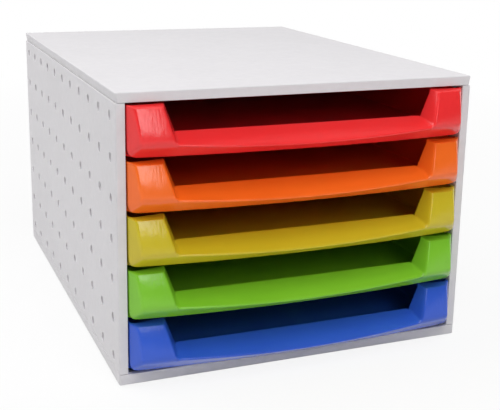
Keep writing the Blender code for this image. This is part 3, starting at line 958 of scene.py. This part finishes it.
def drawer_plastic(name, colour, shade):
    """Glossy through-coloured polystyrene: a faint ripple all over, and fine upright streaks on the posts."""
    material, tree, place = new_material(name)
    flow = noise(tree, place, scale=18.0)
    ripple = noise(tree, place, scale=160.0, detail=1.0)
    stretched = add_node(tree, "ShaderNodeMapping", {"Vector": place, "Scale": STREAK_SCALE})
    streaks = noise(tree, stretched.outputs["Vector"], scale=1.0, detail=3.0)
    where = add_node(tree, "ShaderNodeSeparateXYZ", {"Vector": place}).outputs
    on_post = remap(tree, calculate(tree, "ABSOLUTE", where["X"]), STREAKS_ACROSS)
    on_face = remap(tree, where["Z"], STREAKS_UP)
    drawn = calculate(tree, "MULTIPLY", calculate(tree, "MULTIPLY", on_post, on_face), streaks)
    rippled = raised(tree, ripple, strength=0.02, distance=0.0005)
    set_surface(tree, {
        "Base Color": shade_between(tree, flow, shade, colour),
        "Roughness": remap(tree, streaks, FINISH_SPAN, DRAWER_ROUGHNESS),
        "Specular IOR Level": 0.5,
        "Normal": raised(tree, drawn, strength=0.60, distance=0.00026, over=rippled),
    })
    return material


tray_mesh = drawer_tray()
for node in DRAWERS:
    colour_name = node.split("_")[0]
    low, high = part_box(node)
    drawer = bpy.data.objects.new(colour_name + "_tray", tray_mesh.copy())
    bpy.context.scene.collection.objects.link(drawer)
    drawer.location = (0.0, high.y - DRAWER_DEPTH * MM, low.z)
    colour, shade = DRAWER_COLOURS[colour_name]
    plastic = drawer_plastic(colour_name + "_plastic", colour, shade)
    finish_piece(drawer, plastic, node, node)

# Floor: a wide sheet of white studio paper under the unit. It shows white to the camera and keeps the
# soft shadow that the unit throws on it.
FLOOR_SIZE = 60.0
FLOOR_SUNK = 0.0002
WHITE = (1.0, 1.0, 1.0, 1.0)
PAPER = (0.77, 0.77, 0.77, 1.0)
PAPER_FIBRE = (0.79, 0.79, 0.79, 1.0)
PAPER_GLOW = (0.88, 1.0)  # share of plain white near the unit, where the shadow shows, and far from it
GLOW_SPAN = (0.45, 1.30)


def seen_ray(tree):
    """One where the camera sees a surface directly, or mirrored or through glass; none for stray light."""
    path = add_node(tree, "ShaderNodeLightPath").outputs
    mirrored = calculate(tree, "MAXIMUM", path["Is Glossy Ray"], path["Is Transmission Ray"])
    return calculate(tree, "MAXIMUM", path["Is Camera Ray"], mirrored)


def studio_paper():
    """Matt white paper that shows whiter than the light on it makes it, most of all far from the unit."""
    material, tree, place = new_material("studio_paper")
    fibres = noise(tree, place, scale=300.0, detail=3.0)
    fibrous = shade_between(tree, fibres, PAPER, PAPER_FIBRE)
    paper = add_node(tree, "ShaderNodeBsdfDiffuse", {"Color": fibrous})
    glow = add_node(tree, "ShaderNodeEmission", {"Color": WHITE, "Strength": 1.0})
    away = add_node(tree, "ShaderNodeVectorMath", {0: place}, operation="LENGTH").outputs["Value"]
    seen = calculate(tree, "MULTIPLY", seen_ray(tree), remap(tree, away, GLOW_SPAN, PAPER_GLOW))
    shaders = {0: seen, 1: paper.outputs["BSDF"], 2: glow.outputs["Emission"]}
    mixed = add_node(tree, "ShaderNodeMixShader", shaders)
    add_node(tree, "ShaderNodeOutputMaterial", {"Surface": mixed.outputs["Shader"]})
    return material


bm = bmesh.new()
bmesh.ops.create_grid(bm, x_segments=1, y_segments=1, size=FLOOR_SIZE / 2)
floor = piece_from("floor", bm)
floor.location.z = -FLOOR_SUNK
floor.data.materials.append(studio_paper())

# Light: a studio that is white behind the unit and low down all round, and dimmer overhead and in front.
# Two large soft lamps hang above, in front and at the rear left, a low one on the far right fills that
# side, and a smaller one in front puts the pale sheen on the left posts.
BACKDROP_LIGHT = 1.0
DIM_SIDE = 0.12
DIM_CEILING = 0.25
ROOM_LIGHT = (0.06, 0.38)  # what falls on the unit from the room, from the front and from behind
CEILING_SPAN = (0.15, 0.6)  # these spans are parts of a step towards the ceiling, or towards the backdrop
SKIRTING_SPAN = (0.12, 0.18)
BACKDROP_SPAN = (0.25, 0.8)
ROOM_SPAN = (-0.8, 0.2)
OVERHEAD_LAMP = {"place": (-0.05, -1.00, 1.85), "size": (1.2, 1.2), "watts": 19.8}
REAR_LAMP = {"place": (-1.16, 0.47, 1.78), "size": (1.6, 1.6), "watts": 24.6}
FAR_LAMP = {"place": (1.80, 0.70, 0.55), "size": (1.4, 0.9), "watts": 7.0}
FRONT_LAMP = {"place": (-0.07, -1.74, 0.96), "size": (0.62, 0.60), "watts": 5.9}


def studio_room():
    """The room round the unit: what is seen of it, and the light that it throws."""
    world = bpy.data.worlds.new("studio_room")
    world.use_nodes = True
    tree = world.node_tree
    tree.nodes.clear()
    way = add_node(tree, "ShaderNodeTexCoord").outputs["Generated"]
    way = add_node(tree, "ShaderNodeSeparateXYZ", {"Vector": way}).outputs
    ceiling = remap(tree, way["Z"], CEILING_SPAN, (BACKDROP_LIGHT, DIM_CEILING))
    sides = remap(tree, way["Y"], BACKDROP_SPAN, (DIM_SIDE, BACKDROP_LIGHT))
    skirting = remap(tree, way["Z"], SKIRTING_SPAN, (BACKDROP_LIGHT, 0.0))
    backdrop = calculate(tree, "MAXIMUM", calculate(tree, "MINIMUM", ceiling, sides), skirting)
    thrown = remap(tree, way["Y"], ROOM_SPAN, ROOM_LIGHT)
    strength = remap(tree, seen_ray(tree), (0.0, 1.0), (thrown, backdrop))
    room = add_node(tree, "ShaderNodeBackground", {"Color": WHITE, "Strength": strength})
    add_node(tree, "ShaderNodeOutputWorld", {"Surface": room.outputs["Background"]})
    return world


def soft_lamp(name, place, size, watts):
    """A rectangular lamp that faces the middle of the unit."""
    lamp = bpy.data.lights.new(name, "AREA")
    lamp.shape = "RECTANGLE"
    lamp.size, lamp.size_y = size
    lamp.energy = watts
    stand = bpy.data.objects.new(name, lamp)
    bpy.context.scene.collection.objects.link(stand)
    stand.location = place
    aim = (cad_box[0] + cad_box[1]) / 2 - Vector(place)
    stand.rotation_euler = aim.to_track_quat("-Z", "Y").to_euler()


bpy.context.scene.world = studio_room()
soft_lamp("overhead_lamp", **OVERHEAD_LAMP)
soft_lamp("rear_lamp", **REAR_LAMP)
soft_lamp("far_lamp", **FAR_LAMP)
soft_lamp("front_lamp", **FRONT_LAMP)

# Camera: a little above the top of the unit, in front and to the left of it, with a lens of moderate
# length as for a catalogue picture.
SENSOR_WIDTH = 36.0
LENS = 70.482
LENS_SHIFT = -0.08
CAMERA_PLACE = (-0.29984, -0.81640, 0.33210)
CAMERA_TURN = (1.32641058, -0.01721884, -0.37788162)
camera = bpy.data.cameras.new("camera")
camera.sensor_width = SENSOR_WIDTH
camera.lens = LENS
camera.shift_y = LENS_SHIFT
eye = bpy.data.objects.new("camera", camera)
bpy.context.scene.collection.objects.link(eye)
eye.location = CAMERA_PLACE
eye.rotation_euler = CAMERA_TURN
bpy.context.scene.camera = eye
bpy.context.scene.view_settings.view_transform = "Standard"

bpy.context.view_layer.update()
